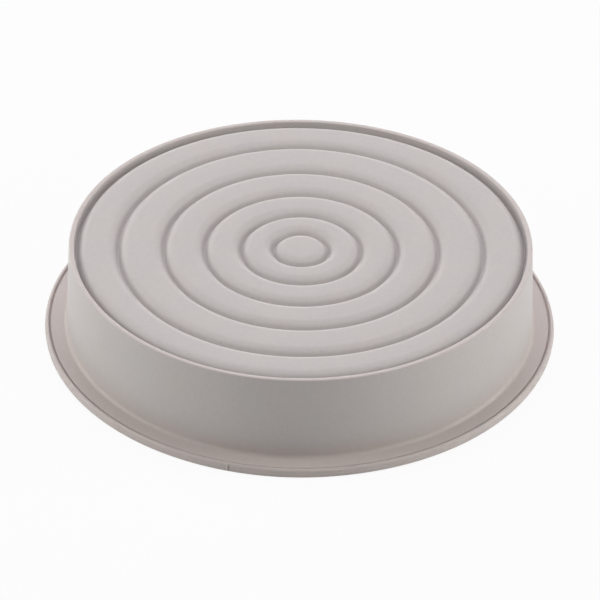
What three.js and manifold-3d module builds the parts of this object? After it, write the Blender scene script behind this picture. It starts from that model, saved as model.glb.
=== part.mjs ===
// Round silicone cake mould, lying upside down on its rim as it is stored and shown.
// Millimetres, +Z up. The origin is the centre of the rim face, on the table.

import * as THREE from "three";
import { mergeVertices } from "three/addons/utils/BufferGeometryUtils.js";
import Module from "manifold-3d";

// Cavity and wall
const MOUTH_DIAMETER = 260; // across the cavity, at the rim face
const HEIGHT = 56.2; // rim face to the foot ring and the pillows
const WALL = 2; // silicone of the side wall
const BASE = 2; // silicone of the base
const DRAFT_DEGREES = 1.65; // lean of the side wall
const MOUTH_ROUND = 1; // edge between the cavity and the rim face
const CAVITY_ROUND = 0.8; // corner between the cavity's wall and its end

// Rippled base: flat pillows parted by sharp grooves, each band wider than the last
const CENTRE_RADIUS = 15.5; // middle disc, out to the first groove
const FIRST_BAND = 18.1; // first groove to the second
const BAND_GROWTH = 2.46; // how much wider each next band is
const GROOVE_DEPTH = 4.5;
const GROOVE_DEGREES = 56; // slope of both sides of a groove
const GROOVE_ROUND = 0.4; // bottom of a groove
const PILLOW_ROUND = 6.8; // edge of a pillow

// Foot ring round the base, and the groove inside it
const FOOT_WIDTH = 3.15; // outside of the wall to the ring's inner edge
const FOOT_OUTER_ROUND = 1.5;
const FOOT_INNER_ROUND = 1.25;
const FOOT_FACE_LEAN = 1.3; // how far the ring's inner face runs in on its way down
const FOOT_FLOOR = 0.6; // flat at the bottom of the groove
const FOOT_FLOOR_ROUND = 0.3;
const FOOT_DEPTH = 5.7;
const FOOT_DEGREES = 66; // slope from the last pillow down to the groove
const FOOT_PILLOW_ROUND = 6.8; // edge of the last pillow

// Rim: flat flange, a crease, and a bead along the edge
const FLANGE_WIDTH = 12; // outside of the wall to the rim's edge
const FLANGE_FILLET = 2.6; // inside corner between wall and flange
const BEAD_WIDTH = 3; // rim's edge to the bottom of the crease
const BEAD_ROUND = 0.8; // outer edge of the bead
const CREASE_DEPTH = 1.4;
const CREASE_FLANGE_RUN = 1.5; // bottom of the crease out to the flange
const CREASE_BEAD_RUN = 0.9; // bottom of the crease out to the bead
const RIM_ROUND = 0.9; // outer edge of the rim face

// Steel hoop moulded into the rim
const HOOP_WIRE = 1.6; // wire diameter
const HOOP_CLEARANCE = 0.3; // silicone channel to wire
const HOOP_COVER = 0.85; // least silicone round the channel
const PIN_HOLE_DIAMETER = 1.5; // left by the pins that hold the hoop in the tool
const PIN_HOLES = 8;

// Facets
const TURN_STEPS = 44; // round the axis
const ARC_TOLERANCE = 0.3; // how far a facet may cut inside its arc
const WIRE_STEPS = 8; // round the wire
const PIN_HOLE_STEPS = 8;

// Places worked out from the sizes above
const grooveSlope = THREE.MathUtils.degToRad(GROOVE_DEGREES);
const footSlope = THREE.MathUtils.degToRad(FOOT_DEGREES);
const lean = Math.tan(THREE.MathUtils.degToRad(DRAFT_DEGREES));
const innerRadius = (height) => MOUTH_DIAMETER / 2 - height * lean;
const outerRadius = (height) => innerRadius(height) + WALL;
const channelRadius = HOOP_WIRE / 2 + HOOP_CLEARANCE;
const flangeTop = 2 * (channelRadius + HOOP_COVER) + CREASE_DEPTH;
const rimRadius = outerRadius(0) + FLANGE_WIDTH;
const creaseRadius = rimRadius - BEAD_WIDTH;
const hoopRadius = rimRadius - HOOP_COVER - channelRadius;
const hoopHeight = HOOP_COVER + channelRadius;
const footInner = outerRadius(HEIGHT) - FOOT_WIDTH;
const floorOuter = footInner - FOOT_FACE_LEAN;
const floorInner = floorOuter - FOOT_FLOOR;
const floorHeight = HEIGHT - FOOT_DEPTH;
const lastPillowEdge = floorInner - FOOT_DEPTH / Math.tan(footSlope);

const silicone = new THREE.MeshStandardMaterial({ color: 0xc5bfbb, roughness: 0.62, metalness: 0 });
const steel = new THREE.MeshStandardMaterial({ color: 0xb9bcbf, roughness: 0.35, metalness: 1 });

const wasm = await Module();
wasm.setup();

// Corner of the section, rounded where a round is given
function corner(radius, height, round = 0) {
  return { at: new THREE.Vector2(radius, height), round };
}

// Groove radii from the middle out, as many as leave a flat on the last pillow
function grooveRadii() {
  const halfWidth = GROOVE_DEPTH / Math.tan(grooveSlope) + PILLOW_ROUND * Math.tan(grooveSlope / 2);
  const lastFlat = lastPillowEdge - FOOT_PILLOW_ROUND * Math.tan(footSlope / 2);
  const radii = [];
  let radius = CENTRE_RADIUS;
  let band = FIRST_BAND;
  while (radius + halfWidth < lastFlat) {
    radii.push(radius);
    radius += band;
    band += BAND_GROWTH;
  }
  return radii;
}

// One groove from the middle out, on the surface that lies this far below the skin of the base
function groove(radius, below) {
  const halfWidth = GROOVE_DEPTH / Math.tan(grooveSlope) + below * Math.tan(grooveSlope / 2);
  const bottom = HEIGHT - GROOVE_DEPTH - below / Math.cos(grooveSlope);
  return [
    corner(radius - halfWidth, HEIGHT - below, PILLOW_ROUND - below),
    corner(radius, bottom, GROOVE_ROUND + below),
    corner(radius + halfWidth, HEIGHT - below, PILLOW_ROUND - below),
  ];
}

// Inside of the base and the cavity's wall, from the axis out to the mouth
function cavityCorners() {
  const edge = lastPillowEdge - BASE * Math.tan(footSlope / 2);
  const endHeight = floorHeight - BASE;
  return [
    corner(0, HEIGHT - BASE),
    ...grooveRadii().flatMap((radius) => groove(radius, BASE)),
    corner(edge, HEIGHT - BASE, FOOT_PILLOW_ROUND - BASE),
    corner(edge + FOOT_DEPTH / Math.tan(footSlope), endHeight, FOOT_FLOOR_ROUND + BASE),
    corner(innerRadius(endHeight), endHeight, CAVITY_ROUND),
    corner(innerRadius(0), 0, MOUTH_ROUND),
  ];
}

// Rim edge, bead, crease, flange and the foot of the wall, from the rim face up
function rimCorners() {
  return [
    corner(rimRadius, 0, RIM_ROUND),
    corner(rimRadius, flangeTop, BEAD_ROUND),
    corner(creaseRadius + CREASE_BEAD_RUN, flangeTop),
    corner(creaseRadius, flangeTop - CREASE_DEPTH),
    corner(creaseRadius - CREASE_FLANGE_RUN, flangeTop),
    corner(outerRadius(flangeTop), flangeTop, FLANGE_FILLET),
  ];
}

// Foot ring, its groove and the rippled base, from the outer wall in to the axis
function baseCorners() {
  return [
    corner(outerRadius(HEIGHT), HEIGHT, FOOT_OUTER_ROUND),
    corner(footInner, HEIGHT, FOOT_INNER_ROUND),
    corner(floorOuter, floorHeight, FOOT_FLOOR_ROUND),
    corner(floorInner, floorHeight, FOOT_FLOOR_ROUND),
    corner(lastPillowEdge, HEIGHT, FOOT_PILLOW_ROUND),
    ...grooveRadii().flatMap((radius) => groove(radius, 0)).reverse(),
    corner(0, HEIGHT),
  ];
}

// Rounds that would run into each other on one edge give way to its length
function fittedRounds(corners) {
  const halfAngles = corners.map(({ at }, index) => {
    const before = corners[index - 1]?.at;
    const after = corners[index + 1]?.at;
    if (!before || !after) return Math.PI / 2;
    return before.clone().sub(at).angleTo(after.clone().sub(at)) / 2;
  });
  const wanted = corners.map(({ round }, index) => round / Math.tan(halfAngles[index]));
  return corners.map(({ at, round }, index) => {
    let share = 1;
    for (const next of [index - 1, index + 1]) {
      if (!corners[next]) continue;
      share = Math.min(share, at.distanceTo(corners[next].at) / (wanted[index] + wanted[next]));
    }
    return { at, round: round * share, half: halfAngles[index] };
  });
}

// Points along the section, with every rounded corner as a tangent arc
function rounded(corners) {
  const fitted = fittedRounds(corners);
  return fitted.flatMap(({ at, round, half }, index) => {
    if (round === 0) return [at];
    const back = fitted[index - 1].at.clone().sub(at).normalize();
    const ahead = fitted[index + 1].at.clone().sub(at).normalize();
    const inward = back.clone().add(ahead).normalize();
    const centre = at.clone().addScaledVector(inward, round / Math.sin(half));
    const start = at.clone().addScaledVector(back, round / Math.tan(half));
    const turn = (Math.PI - 2 * half) * (back.cross(ahead) > 0 ? -1 : 1);
    const widest = 2 * Math.acos(Math.max(0, 1 - ARC_TOLERANCE / round));
    const steps = Math.ceil(Math.abs(turn) / widest);
    return Array.from({ length: steps + 1 }, (_, step) =>
      start.clone().rotateAround(centre, (turn * step) / steps));
  });
}

// Closed solid from a geometry whose repeated corners are merged and collapsed faces dropped
function solidOf(geometry) {
  geometry.deleteAttribute("normal");
  geometry.deleteAttribute("uv");
  const merged = mergeVertices(geometry);
  const corners = merged.index.array;
  const faces = [];
  for (let face = 0; face < corners.length; face += 3) {
    const [a, b, c] = corners.subarray(face, face + 3);
    if (a !== b && b !== c && c !== a) faces.push(a, b, c);
  }
  const vertProperties = new Float32Array(merged.attributes.position.array);
  const triVerts = new Uint32Array(faces);
  return new wasm.Manifold(new wasm.Mesh({ numProp: 3, vertProperties, triVerts }));
}

function namedMesh(name, solid, material) {
  const { vertProperties, triVerts } = solid.getMesh();
  const geometry = new THREE.BufferGeometry();
  geometry.setAttribute("position", new THREE.BufferAttribute(vertProperties, 3));
  geometry.setIndex(new THREE.BufferAttribute(triVerts, 1));
  geometry.computeVertexNormals();
  const mesh = new THREE.Mesh(geometry, material);
  mesh.name = name;
  return mesh;
}

// Ring of round section lying level in the rim, for the hoop and its channel alike
function rimRing(sectionRadius) {
  const ring = new THREE.TorusGeometry(hoopRadius, sectionRadius, WIRE_STEPS, TURN_STEPS);
  return ring.translate(0, 0, hoopHeight);
}

// Hole from below the rim face up into the hoop's channel
function pinHole(index) {
  const hole = new THREE.CylinderGeometry(
    PIN_HOLE_DIAMETER / 2, PIN_HOLE_DIAMETER / 2, 2 * hoopHeight, PIN_HOLE_STEPS,
  );
  hole.rotateX(Math.PI / 2);
  hole.translate(hoopRadius, 0, 0);
  return hole.rotateZ(((index + 0.5) * 2 * Math.PI) / PIN_HOLES);
}

function mouldBody() {
  const section = rounded([...cavityCorners(), ...rimCorners(), ...baseCorners()]);
  const turned = new THREE.LatheGeometry(section, TURN_STEPS).rotateX(Math.PI / 2);
  let solid = solidOf(turned).subtract(solidOf(rimRing(channelRadius)));
  for (let index = 0; index < PIN_HOLES; index++) {
    solid = solid.subtract(solidOf(pinHole(index)));
  }
  return namedMesh("mould_body", solid, silicone);
}

function rimHoop() {
  return namedMesh("rim_hoop", solidOf(rimRing(HOOP_WIRE / 2)), steel);
}

const mould = new THREE.Group();
mould.add(mouldBody(), rimHoop());

export default mould;
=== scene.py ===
"""Looks of a round silicone cake mould, lying upside down on a pale floor."""
import math

import bmesh
import bpy
from mathutils import Matrix, Vector


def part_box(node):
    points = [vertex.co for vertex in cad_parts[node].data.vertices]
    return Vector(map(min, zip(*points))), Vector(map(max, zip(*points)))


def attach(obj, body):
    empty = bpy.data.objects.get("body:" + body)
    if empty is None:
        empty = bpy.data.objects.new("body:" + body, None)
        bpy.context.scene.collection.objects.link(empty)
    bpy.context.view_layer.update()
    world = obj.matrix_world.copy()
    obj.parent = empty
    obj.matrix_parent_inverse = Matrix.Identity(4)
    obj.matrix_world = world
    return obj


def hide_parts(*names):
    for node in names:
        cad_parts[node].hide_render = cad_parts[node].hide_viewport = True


MM = 0.001

# Mould sizes, in millimetres and degrees
WALL = 2.0
BASE = 2.0
DRAFT_DEGREES = 2.15
MOUTH_ROUND = 1.0

# Rim: a flat flange below the drawn-in neck of the wall, a crease, and a bead along the edge
FLANGE_WIDTH = 12.0
FLANGE_TOP = 4.8
FLANGE_FILLET = 2.2
NECK_DEPTH = 0.55
NECK_TOP = 14.2
NECK_ROUND = 100.0
BEAD_WIDTH = 2.75
BEAD_RISE = 0.4
BEAD_ROUND = 1.5
CREASE_DEPTH = 1.7
CREASE_FLANGE_RUN = 0.7
CREASE_BEAD_RUN = 0.7
CREASE_FLANGE_ROUND = 0.4
CREASE_BEAD_ROUND = 0.35
CREASE_ROUND = 0.15
RIM_ROUND = 0.9
PARTING_HEIGHT = 2.6
PARTING_WIDTH = 0.6
PARTING_PROUD = 0.25
PARTING_ROUND = 0.1

# Rippled base: each groove has a shallow slope, a shoulder and a steep slope on both sides
CENTRE_RADIUS = 15.5
FIRST_BAND = 18.1
BAND_GROWTH = 2.46
GROOVES = 5
GROOVE_REACH = 5.4
GROOVE_DEPTH = 4.8
SHOULDER_REACH = 2.2
SHOULDER_DROP = 1.5
PILLOW_ROUND = 5.5
SHOULDER_ROUND = 5.0
GROOVE_ROUND = 0.3
INNER_ROUND = 0.3

# Foot ring and the groove inside it
FOOT_WIDTH = 2.7
FOOT_OUTER_ROUND = 0.9
FOOT_INNER_ROUND = 1.05
FOOT_FACE_LEAN = 1.2
FOOT_FLOOR = 0.5
FOOT_DEPTH = 6.25
FOOT_SLOPE = 70.0
FOOT_PILLOW_ROUND = 6.7
FOOT_FLOOR_ROUND = 0.3
CAVITY_ROUND = 0.8

# Channel of the steel hoop in the rim, and the pin holes that lead to it
CHANNEL_CLEARANCE = 0.3
PIN_HOLES = 8
PIN_HOLE_DIAMETER = 1.5

# Small upright rib on the rim's edge and the nick beside it, left by the mould tool
TICK_HEIGHT = 3.1
TICK_LENGTH = 4.4
RIB_TOWARDS = -105.6
RIB_WIDTH = 1.1
RIB_PROUD = 1.0
NICK_TOWARDS = -105.2
NICK_WIDTH = 0.6
NICK_DEPTH = 0.35

# Soft silicone lies a little out of round: the foot ring in lobes, and the rim in one shallow dent.
# Each lobe is its reach in millimetres, how many times it comes round, and the degrees it points to.
FOOT_LOBES = ((-0.14, 0, 0), (0.28, 1, 148), (0.86, 2, 19), (0.52, 3, 25))
DENT_DEPTH = 0.95
DENT_TOWARDS = -49.0
DENT_WIDTH = 36.0  # degrees to each side
FLEX_START = 96.0  # radius where the flex sets in
FLEX_END = 122.0  # radius where it is full

# Mesh fineness
TURN_STEPS = 216
AXIS_RADIUS = 0.001  # points nearer to the axis lie on it
ARC_DEGREES = 18.0  # largest turn between points of a round
ARC_SAG = 0.012  # largest gap between a round and its chords
WIRE_STEPS = 16
PIN_HOLE_STEPS = 16
TICK_STEPS = 16
TICK_RINGS = 12
SHARP_DEGREES = 30.0  # edges that turn more stay sharp

# Mark of the silicone's tints: none on the wall, RIM_MARK on the rim for its pinker tone, and one on the
# foot ring's top, which is paler, less pink and lightened as a painted highlight
RIM_TINT_RING_HIGHLIGHT = "rim_tint_ring_highlight"
RIM_MARK = 0.5

# Noise: patches in a metre and levels of detail, and the usual reach of its values
CLOUDS = (35, 4)
MOTTLE = (420, 3)
SPECKS = (700, 0)
SILICONE_GRAIN = (2600, 2)
STEEL_STAINS = (900, 3)
STEEL_GRAIN = (4000, 2)
NOISE_LOW = 0.3
NOISE_HIGH = 0.7

# Colours of the clouds and the steel, and the tints that the silicone's colour is multiplied by.
# Each stop is a place on the scale of the noise or the rim and ring mark, and a linear colour.
CLOUD_STOPS = ((0.35, (0.601, 0.523, 0.501)), (0.65, (0.593, 0.526, 0.507)))
MOTTLE_STOPS = ((NOISE_LOW, (0.96, 0.96, 0.96)), (NOISE_HIGH, (1, 1, 1)))
SPECK_STOPS = ((0.86, (1, 1, 1)), (0.88, (0.72, 0.71, 0.70)))
# Stops of the mark: the wall, the pinker rim, and the foot ring's top, paler and less pink and lightened as
# a painted highlight
RIM_TINT_RING_HIGHLIGHT_STOPS = ((0, (0.94, 1, 1)), (RIM_MARK, (0.985, 1, 0.99)), (1, (1.06, 1.09, 1.075)))
STEEL_STOPS = ((NOISE_LOW, (0.5, 0.5, 0.51)), (NOISE_HIGH, (0.64, 0.64, 0.65)))

# Surfaces: least and most roughness, grain depth in millimetres, and the silicone's own gloss and sheen
SILICONE_ROUGHNESS = (0.45, 0.55)
SILICONE_GRAIN_DEPTH = 0.04
SILICONE_IOR = 1.41
SILICONE_SHEEN = 0.25
SILICONE_SHEEN_ROUGHNESS = 0.5
STEEL_ROUGHNESS = (0.28, 0.42)
STEEL_GRAIN_DEPTH = 0.01

# Sockets of the node that multiplies two colours
MIX_FIRST = 6
MIX_SECOND = 7
MIX_RESULT = 2

# Soft boxes round the mould. The one overhead at the back is a little cool, the two overhead at the sides
# are nearly plain, and the lower ones are a little warm.
# Each is its name, degrees from +X towards +Y, degrees up, height in metres, watts and colour.
COOL = (1.02, 0.99, 1.095)
PLAIN = (1.0, 0.995, 1.02)
WARM = (1.0, 1.0, 0.97)
LAMP_DISTANCE = 2.4
LAMP_WIDTH = 1.2
LAMPS = (
    ("right_low", 0, 7, 0.6, 13.8, WARM),
    ("back_low", 90, 7, 0.6, 8.1, WARM),
    ("back_left_low", 125, 12, 0.4, 3.7, WARM),
    ("left_low", 180, 7, 0.6, 10.2, WARM),
    ("right", 0, 22, 1.0, 10.9, WARM),
    ("back_left", 135, 22, 1.0, 4.7, WARM),
    ("left", 180, 22, 1.0, 12.6, WARM),
    ("left_front", 225, 22, 1.0, 4.1, WARM),
    ("right_front", 315, 22, 1.0, 6.9, WARM),
    ("right_high", 0, 65, 1.0, 12.1, PLAIN),
    ("back_high", 90, 65, 1.0, 15.6, COOL),
    ("left_high", 180, 65, 1.0, 10.6, PLAIN),
)

# Floor: its reach in metres, the gap below the rim face in millimetres, its colour under the shadow,
# and the share of white in its look
FLOOR_REACH = 6
FLOOR_GAP = 0.1
FLOOR_COLOUR = (0.85, 0.85, 0.85, 1)
FLOOR_GLOW = 0.92

# Camera fitted to the photograph, in pixels, millimetres and degrees
FRAME_PIXELS = 600
FOCAL_PIXELS = 8500
SENSOR_WIDTH = 36.0
CAMERA_DISTANCE = 4801.0
CAMERA_REACH = 100000.0
CAMERA_ELEVATION = 35.06
CAMERA_ROLL = 1.05
AIM_HEIGHT = 19.5  # point of the axis in the middle of the frame

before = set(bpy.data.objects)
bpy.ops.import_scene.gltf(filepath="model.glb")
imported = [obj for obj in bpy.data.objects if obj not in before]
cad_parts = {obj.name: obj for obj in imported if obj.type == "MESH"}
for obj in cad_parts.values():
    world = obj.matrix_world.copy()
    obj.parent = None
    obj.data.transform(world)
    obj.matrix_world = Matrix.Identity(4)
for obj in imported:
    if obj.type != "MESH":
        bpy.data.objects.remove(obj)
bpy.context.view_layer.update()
body_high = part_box("mould_body")[1]
hoop_low, hoop_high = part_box("rim_hoop")
HEIGHT = body_high.z / MM
RIM_RADIUS = body_high.x / MM
WIRE_RADIUS = (hoop_high.z - hoop_low.z) / 2 / MM
HOOP_HEIGHT = (hoop_high.z + hoop_low.z) / 2 / MM
HOOP_RADIUS = hoop_high.x / MM - WIRE_RADIUS


def inner_radius(height):
    """Radius of the cavity's wall at a height."""
    mouth = RIM_RADIUS - FLANGE_WIDTH - WALL
    return mouth - height * math.tan(math.radians(DRAFT_DEGREES))


def outer_radius(height):
    """Radius of the outer wall at a height."""
    return inner_radius(height) + WALL


def groove_radii():
    """Radii of the ripple grooves; each band is wider than the one inside it by the same step."""
    return [CENTRE_RADIUS + k * FIRST_BAND + BAND_GROWTH * k * (k - 1) / 2 for k in range(GROOVES)]


def last_pillow_edge():
    """Radius where the last pillow's top would meet the slope down to the foot ring's groove."""
    floor_inner = outer_radius(HEIGHT) - FOOT_WIDTH - FOOT_FACE_LEAN - FOOT_FLOOR
    return floor_inner - FOOT_DEPTH / math.tan(math.radians(FOOT_SLOPE))


def sunk(reach, drop, tilts, offset):
    """Corner of a groove moved into the silicone, square to the two slopes that meet there."""
    moved = offset / math.cos((tilts[1] - tilts[0]) / 2)
    lean = sum(tilts) / 2
    return reach + moved * math.sin(lean), drop + moved * math.cos(lean)


def groove_corners(radius, flat, offset):
    """Five corners of one groove, from the middle out; offset is the depth of silicone below the top."""
    shallow = math.atan2(SHOULDER_DROP, GROOVE_REACH - SHOULDER_REACH)
    steep = math.atan2(GROOVE_DEPTH - SHOULDER_DROP, SHOULDER_REACH)
    edge, edge_drop = sunk(GROOVE_REACH, 0, (0, shallow), offset)
    shoulder, shoulder_drop = sunk(SHOULDER_REACH, SHOULDER_DROP, (shallow, steep), offset)
    bottom_drop = sunk(0, GROOVE_DEPTH, (-steep, steep), offset)[1]
    edge_round = max(PILLOW_ROUND - offset, INNER_ROUND)
    shoulder_round = max(SHOULDER_ROUND - offset, INNER_ROUND)
    return [
        (radius - edge, flat - edge_drop, edge_round),
        (radius - shoulder, flat - shoulder_drop, shoulder_round),
        (radius, flat - bottom_drop, GROOVE_ROUND + offset),
        (radius + shoulder, flat - shoulder_drop, shoulder_round),
        (radius + edge, flat - edge_drop, edge_round),
    ]


def cavity_corners():
    """Inside of the base and the cavity's wall, from the axis out to the mouth."""
    slope = math.radians(FOOT_SLOPE)
    edge = last_pillow_edge() - BASE * math.tan(slope / 2)
    end_height = HEIGHT - FOOT_DEPTH - BASE
    corners = [(0, HEIGHT - BASE, 0)]
    for radius in groove_radii():
        corners += groove_corners(radius, HEIGHT, BASE)
    return corners + [
        (edge, HEIGHT - BASE, FOOT_PILLOW_ROUND - BASE),
        (edge + FOOT_DEPTH / math.tan(slope), end_height, FOOT_FLOOR_ROUND + BASE),
        (inner_radius(end_height), end_height, CAVITY_ROUND),
        (inner_radius(0), 0, MOUTH_ROUND),
    ]


def rim_corners():
    """Rim edge with its parting line, bead, crease and flange, from the rim face up to the wall."""
    face = RIM_RADIUS - PARTING_PROUD
    crease = RIM_RADIUS - BEAD_WIDTH
    bead_top = FLANGE_TOP + BEAD_RISE
    return [
        (face, 0, RIM_ROUND),
        (face, PARTING_HEIGHT - PARTING_WIDTH / 2, PARTING_ROUND),
        (RIM_RADIUS, PARTING_HEIGHT, PARTING_ROUND),
        (face, PARTING_HEIGHT + PARTING_WIDTH / 2, PARTING_ROUND),
        (face, bead_top, BEAD_ROUND),
        (crease + CREASE_BEAD_RUN, bead_top, CREASE_BEAD_ROUND),
        (crease, FLANGE_TOP - CREASE_DEPTH, CREASE_ROUND),
        (crease - CREASE_FLANGE_RUN, FLANGE_TOP, CREASE_FLANGE_ROUND),
        (outer_radius(FLANGE_TOP) - NECK_DEPTH, FLANGE_TOP, FLANGE_FILLET),
        (outer_radius(NECK_TOP), NECK_TOP, NECK_ROUND),
    ]


def base_corners():
    """Foot ring, its groove and the rippled base, from the outer wall in to the axis."""
    foot_inner = outer_radius(HEIGHT) - FOOT_WIDTH
    floor_outer = foot_inner - FOOT_FACE_LEAN
    floor_height = HEIGHT - FOOT_DEPTH
    corners = [
        (outer_radius(HEIGHT), HEIGHT, FOOT_OUTER_ROUND),
        (foot_inner, HEIGHT, FOOT_INNER_ROUND),
        (floor_outer, floor_height, FOOT_FLOOR_ROUND),
        (floor_outer - FOOT_FLOOR, floor_height, FOOT_FLOOR_ROUND),
        (last_pillow_edge(), HEIGHT, FOOT_PILLOW_ROUND),
    ]
    for radius in reversed(groove_radii()):
        corners += reversed(groove_corners(radius, HEIGHT, 0))
    return corners + [(0, HEIGHT, 0)]


def profile_corners():
    """Corners of the section as radius, height and round, from the cavity's middle to the base's."""
    return cavity_corners() + rim_corners() + base_corners()


def rounded(corners):
    """Points along a line of corners, with each corner's round as a tangent arc."""
    points = [Vector(corners[0][:2])]
    for before, corner, after in zip(corners, corners[1:], corners[2:]):
        tip = Vector(corner[:2])
        back = (Vector(before[:2]) - tip).normalized()
        ahead = (Vector(after[:2]) - tip).normalized()
        half = back.angle(ahead) / 2
        turn = math.pi - 2 * half
        start = tip + back * corner[2] / math.tan(half)
        centre = tip + (back + ahead).normalized() * corner[2] / math.sin(half)
        sense = -1 if back.cross(ahead) > 0 else 1
        chord_turn = 2 * math.acos(1 - min(1, ARC_SAG / corner[2]))
        steps = math.ceil(turn / min(chord_turn, math.radians(ARC_DEGREES)))
        for step in range(steps + 1):
            swing = Matrix.Rotation(sense * turn * step / steps, 2)
            points.append(centre + swing @ (start - centre))
    points.append(Vector(corners[-1][:2]))
    return points


def wire_section(radius):
    """Round section of the hoop or its channel."""
    points = []
    for step in range(WIRE_STEPS):
        turn = 2 * math.pi * step / WIRE_STEPS
        across = HOOP_RADIUS + radius * math.cos(turn)
        up = HOOP_HEIGHT + radius * math.sin(turn)
        points.append(Vector((across, up)))
    return points


def foot_flex(turn):
    """How far the foot ring is pushed out at one turn about the axis."""
    flex = 0
    for reach, count, towards in FOOT_LOBES:
        flex += reach * math.cos(count * (turn - math.radians(towards)))
    return flex


def rim_flex(turn):
    """How far the rim is pushed out at one turn about the axis; the dent is less than none."""
    away = math.remainder(math.degrees(turn) - DENT_TOWARDS, 360)
    return -DENT_DEPTH * math.exp(-((away / DENT_WIDTH) ** 4))


def flexed(radius, height, turn):
    """Place of a point of the section at one turn about the axis, millimetres in and metres out."""
    rise = height / HEIGHT
    flex = (1 - rise) * rim_flex(turn) + rise * foot_flex(turn)
    share = min(1, max(0, (radius - FLEX_START) / (FLEX_END - FLEX_START)))
    moved = radius + flex * share * share * (3 - 2 * share)
    return Vector((moved * math.cos(turn), moved * math.sin(turn), height)) * MM


def linked(name, verts, faces):
    """New smooth piece in the scene."""
    mesh = bpy.data.meshes.new(name)
    mesh.from_pydata(verts, [], faces)
    mesh.shade_smooth()
    piece = bpy.data.objects.new(name, mesh)
    bpy.context.scene.collection.objects.link(piece)
    return piece


def turned_piece(name, points):
    """Closed piece turned about the Z axis; its section starts and ends on the axis or is a closed loop."""
    verts = []
    rings = []
    for point in points:
        count = 1 if point.x < AXIS_RADIUS else TURN_STEPS
        rings.append([len(verts) + k for k in range(count)] * (TURN_STEPS // count))
        verts += [flexed(point.x, point.y, 2 * math.pi * k / TURN_STEPS) for k in range(count)]
    if len(rings[0]) == len(set(rings[0])):
        rings.append(rings[0])
    faces = []
    for lower, upper in zip(rings, rings[1:]):
        for k in range(TURN_STEPS):
            after = (k + 1) % TURN_STEPS
            corners = [lower[k], lower[after], upper[after], upper[k]]
            faces.append(list(dict.fromkeys(corners)))
    return linked(name, verts, faces)


def pin_holes():
    """Upright pegs from below the rim face into the hoop's channel."""
    verts = []
    faces = []
    for hole in range(PIN_HOLES):
        middle = flexed(HOOP_RADIUS, 0, 2 * math.pi * (hole + 0.5) / PIN_HOLES)
        first = len(verts)
        for height in (-HOOP_HEIGHT, HOOP_HEIGHT):
            for step in range(PIN_HOLE_STEPS):
                turn = 2 * math.pi * step / PIN_HOLE_STEPS
                edge = Vector((math.cos(turn), math.sin(turn), 0)) * PIN_HOLE_DIAMETER / 2
                verts.append(middle + (edge + Vector((0, 0, height))) * MM)
        low = list(range(first, first + PIN_HOLE_STEPS))
        high = [index + PIN_HOLE_STEPS for index in low]
        faces += [low[::-1], high]
        for k in range(PIN_HOLE_STEPS):
            after = (k + 1) % PIN_HOLE_STEPS
            faces.append([low[k], low[after], high[after], high[k]])
    return linked("pin_holes", verts, faces)


def tick(name, towards, width, depth):
    """Small upright lens shape, half sunk in the rim's edge."""
    turn = math.radians(towards)
    place = flexed(RIM_RADIUS - PARTING_PROUD, TICK_HEIGHT, turn)
    reach = Vector((depth, width / 2, TICK_LENGTH / 2)) * MM
    shape = Matrix.LocRotScale(place, Matrix.Rotation(turn, 3, "Z"), reach)
    body = bmesh.new()
    bmesh.ops.create_uvsphere(body, u_segments=TICK_STEPS, v_segments=TICK_RINGS, radius=1, matrix=shape)
    verts = [vert.co.copy() for vert in body.verts]
    faces = [[vert.index for vert in face.verts] for face in body.faces]
    body.free()
    return linked(name, verts, faces)


def mark_rim_tint_ring_highlight(piece):
    """Mark the rim for its pinker tint, fading up the neck, and the foot ring's top for its paler tone and
    painted highlight.
    """
    ring_inside = outer_radius(HEIGHT) - 2 * FOOT_WIDTH
    layer = piece.data.attributes.new(RIM_TINT_RING_HIGHLIGHT, "FLOAT", "POINT")
    for mark, vert in zip(layer.data, piece.data.vertices):
        height = vert.co.z / MM
        rim = 1 - (height - FLANGE_TOP) / (NECK_TOP - FLANGE_TOP)
        ring = (height - HEIGHT + FOOT_OUTER_ROUND) / FOOT_OUTER_ROUND
        if vert.co.xy.length / MM < ring_inside:
            ring = 0
        mark.value = max(0, RIM_MARK * min(1, rim), ring)


def combine(piece, other, operation):
    """Cut a piece with another or join the other to it; the other is used up."""
    modifier = piece.modifiers.new("combine", "BOOLEAN")
    modifier.operation = operation
    modifier.object = other
    evaluated = piece.evaluated_get(bpy.context.evaluated_depsgraph_get())
    mesh = bpy.data.meshes.new_from_object(evaluated)
    piece.modifiers.clear()
    piece.data = mesh
    mesh.set_sharp_from_angle(angle=math.radians(SHARP_DEGREES))
    bpy.data.objects.remove(other)


def noise(material, scale, detail):
    """Noise in the piece's own space, with about one patch in every 1 / scale metres."""
    nodes = material.node_tree.nodes
    place = nodes.new("ShaderNodeTexCoord")
    texture = nodes.new("ShaderNodeTexNoise")
    texture.inputs["Scale"].default_value = scale
    texture.inputs["Detail"].default_value = detail
    material.node_tree.links.new(place.outputs["Object"], texture.inputs["Vector"])
    return texture.outputs["Fac"]


def ramp(material, factor, stops):
    """Colour that runs between stops, each a place on the factor's scale and a colour."""
    texture = material.node_tree.nodes.new("ShaderNodeValToRGB")
    elements = texture.color_ramp.elements
    for stop in stops[1:-1]:
        elements.new(stop[0])
    for element, (position, colour) in zip(elements, stops):
        element.position = position
        element.color = (*colour, 1)
    material.node_tree.links.new(factor, texture.inputs["Fac"])
    return texture.outputs["Color"]


def times(material, first, second):
    """Product of two colours."""
    product = material.node_tree.nodes.new("ShaderNodeMix")
    product.data_type = "RGBA"
    product.blend_type = "MULTIPLY"
    product.inputs["Factor"].default_value = 1
    material.node_tree.links.new(first, product.inputs[MIX_FIRST])
    material.node_tree.links.new(second, product.inputs[MIX_SECOND])
    return product.outputs[MIX_RESULT]


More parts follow.
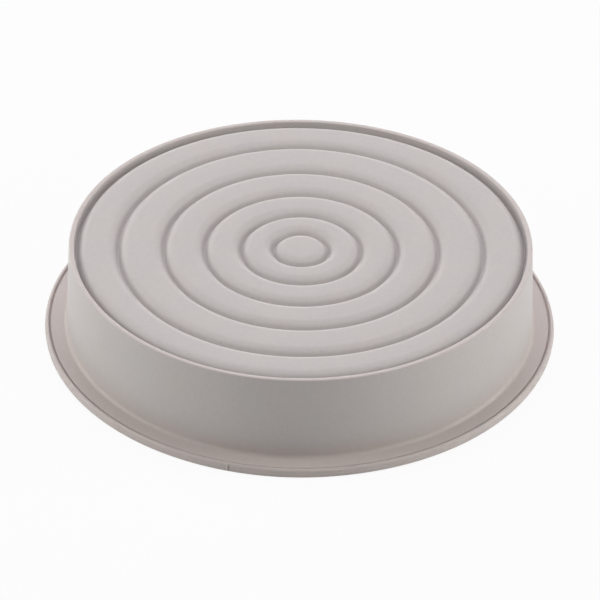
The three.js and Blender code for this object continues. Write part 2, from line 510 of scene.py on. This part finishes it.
def spread(material, factor, low, high):
    """Number between low and high, as the factor goes over the usual reach of noise."""
    limits = material.node_tree.nodes.new("ShaderNodeMapRange")
    limits.inputs["From Min"].default_value = NOISE_LOW
    limits.inputs["From Max"].default_value = NOISE_HIGH
    limits.inputs["To Min"].default_value = low
    limits.inputs["To Max"].default_value = high
    material.node_tree.links.new(factor, limits.inputs["Value"])
    return limits.outputs["Result"]


def bumps(material, factor, depth):
    """Surface bumps of a depth in millimetres."""
    bump = material.node_tree.nodes.new("ShaderNodeBump")
    bump.inputs["Distance"].default_value = depth * MM
    material.node_tree.links.new(factor, bump.inputs["Height"])
    return bump.outputs["Normal"]


def shaded(name, colour_of, roughness, grain, grain_depth):
    """Material whose colour, roughness and grain vary over the piece; gives it and its shader."""
    material = bpy.data.materials.new(name)
    material.use_nodes = True
    links = material.node_tree.links
    shader = material.node_tree.nodes["Principled BSDF"]
    fine = noise(material, *grain)
    links.new(colour_of(material), shader.inputs["Base Color"])
    links.new(spread(material, fine, *roughness), shader.inputs["Roughness"])
    links.new(bumps(material, fine, grain_depth), shader.inputs["Normal"])
    return material, shader


def silicone_colour(material):
    """Warm grey with faint clouds, a close mottle and a few dark specks; pinker rim, and a paler foot ring
    top that is partly a painted highlight.
    """
    rim_tint_ring_highlight = material.node_tree.nodes.new("ShaderNodeAttribute")
    rim_tint_ring_highlight.attribute_name = RIM_TINT_RING_HIGHLIGHT
    tints = (
        ramp(material, noise(material, *MOTTLE), MOTTLE_STOPS),
        ramp(material, noise(material, *SPECKS), SPECK_STOPS),
        # The rim's pinker tint, and the foot ring top's paler tone with its painted highlight
        ramp(material, rim_tint_ring_highlight.outputs["Fac"], RIM_TINT_RING_HIGHLIGHT_STOPS),
    )
    colour = ramp(material, noise(material, *CLOUDS), CLOUD_STOPS)
    for tint in tints:
        colour = times(material, colour, tint)
    return colour


def silicone_material():
    """Soft, nearly matt silicone."""
    material, shader = shaded(
        "silicone", silicone_colour, SILICONE_ROUGHNESS, SILICONE_GRAIN, SILICONE_GRAIN_DEPTH
    )
    shader.inputs["IOR"].default_value = SILICONE_IOR
    shader.inputs["Sheen Weight"].default_value = SILICONE_SHEEN
    shader.inputs["Sheen Roughness"].default_value = SILICONE_SHEEN_ROUGHNESS
    return material


def steel_colour(material):
    """Grey with lighter and darker stains."""
    return ramp(material, noise(material, *STEEL_STAINS), STEEL_STOPS)


def steel_material():
    """Drawn stainless wire."""
    material, shader = shaded("hoop_steel", steel_colour, STEEL_ROUGHNESS, STEEL_GRAIN, STEEL_GRAIN_DEPTH)
    shader.inputs["Metallic"].default_value = 1
    return material


def seen_white(tree):
    """One for rays from the camera, a mirror or glass, and none for the rays that carry light."""
    path = tree.nodes.new("ShaderNodeLightPath")
    seen = path.outputs["Is Camera Ray"]
    for ray in ("Is Glossy Ray", "Is Transmission Ray"):
        either = tree.nodes.new("ShaderNodeMath")
        either.operation = "MAXIMUM"
        tree.links.new(seen, either.inputs[0])
        tree.links.new(path.outputs[ray], either.inputs[1])
        seen = either.outputs[0]
    return seen


def floor_material():
    """Pale floor that looks nearly white, with a soft shadow left in it."""
    material = bpy.data.materials.new("floor")
    material.use_nodes = True
    tree = material.node_tree
    tree.nodes.remove(tree.nodes["Principled BSDF"])
    diffuse = tree.nodes.new("ShaderNodeBsdfDiffuse")
    diffuse.inputs["Color"].default_value = FLOOR_COLOUR
    glow = tree.nodes.new("ShaderNodeEmission")
    share = tree.nodes.new("ShaderNodeMath")
    share.operation = "MULTIPLY"
    share.inputs[1].default_value = FLOOR_GLOW
    mix = tree.nodes.new("ShaderNodeMixShader")
    tree.links.new(seen_white(tree), share.inputs[0])
    tree.links.new(share.outputs[0], mix.inputs[0])
    tree.links.new(diffuse.outputs[0], mix.inputs[1])
    tree.links.new(glow.outputs[0], mix.inputs[2])
    tree.links.new(mix.outputs[0], tree.nodes["Material Output"].inputs["Surface"])
    return material


def stage():
    """Square floor a little below the rim face."""
    height = -FLOOR_GAP * MM
    corners = [
        (-FLOOR_REACH, -FLOOR_REACH, height),
        (FLOOR_REACH, -FLOOR_REACH, height),
        (FLOOR_REACH, FLOOR_REACH, height),
        (-FLOOR_REACH, FLOOR_REACH, height),
    ]
    floor = linked("floor", corners, [(0, 1, 2, 3)])
    floor.data.materials.append(floor_material())


def camera():
    """Camera at the photograph's viewing angle."""
    data = bpy.data.cameras.new("camera")
    data.sensor_width = SENSOR_WIDTH
    data.lens = FOCAL_PIXELS / FRAME_PIXELS * SENSOR_WIDTH
    data.clip_end = CAMERA_REACH * MM
    rise = math.radians(CAMERA_ELEVATION)
    aim = Vector((0, 0, AIM_HEIGHT * MM))
    away = Vector((0, -math.cos(rise), math.sin(rise)))
    place = Matrix.Translation(aim + away * CAMERA_DISTANCE * MM)
    facing = away.to_track_quat("Z", "Y").to_matrix().to_4x4()
    camera_object = bpy.data.objects.new("camera", data)
    camera_object.matrix_world = place @ facing @ Matrix.Rotation(math.radians(CAMERA_ROLL), 4, "Z")
    bpy.context.scene.collection.objects.link(camera_object)
    bpy.context.scene.camera = camera_object


def world_light():
    """White where it is seen, and dark as a light."""
    world = bpy.data.worlds.new("studio")
    world.use_nodes = True
    tree = world.node_tree
    tree.nodes["Background"].inputs["Color"].default_value = (1, 1, 1, 1)
    tree.links.new(seen_white(tree), tree.nodes["Background"].inputs["Strength"])
    bpy.context.scene.world = world


def lamp(name, azimuth, elevation, height, power, colour):
    """Soft box aimed at the mould; azimuth turns from +X towards +Y."""
    light = bpy.data.lights.new(name, "AREA")
    light.shape = "RECTANGLE"
    light.size = LAMP_WIDTH
    light.size_y = height
    light.energy = power
    light.color = colour
    turn = math.radians(azimuth)
    rise = math.radians(elevation)
    level = math.cos(rise)
    direction = Vector((level * math.cos(turn), level * math.sin(turn), math.sin(rise)))
    lamp_object = bpy.data.objects.new(name, light)
    lamp_object.location = direction * LAMP_DISTANCE
    lamp_object.rotation_euler = direction.to_track_quat("Z", "Y").to_euler()
    bpy.context.scene.collection.objects.link(lamp_object)


bpy.context.scene.view_settings.view_transform = "Standard"
mould = turned_piece("mould", rounded(profile_corners()))
combine(mould, tick("rib", RIB_TOWARDS, RIB_WIDTH, RIB_PROUD), "UNION")
combine(mould, tick("nick", NICK_TOWARDS, NICK_WIDTH, NICK_DEPTH), "DIFFERENCE")
combine(mould, turned_piece("channel", wire_section(WIRE_RADIUS + CHANNEL_CLEARANCE)), "DIFFERENCE")
combine(mould, pin_holes(), "DIFFERENCE")
# Mark for the rim's pinker tint and the painted highlight on the foot ring's top
mark_rim_tint_ring_highlight(mould)
mould.data.materials.append(silicone_material())
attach(mould, "root")
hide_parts("mould_body")

hoop = turned_piece("hoop", wire_section(WIRE_RADIUS))
hoop.data.materials.append(steel_material())
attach(hoop, "root")
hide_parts("rim_hoop")

stage()
camera()
world_light()
for settings in LAMPS:
    lamp(*settings)
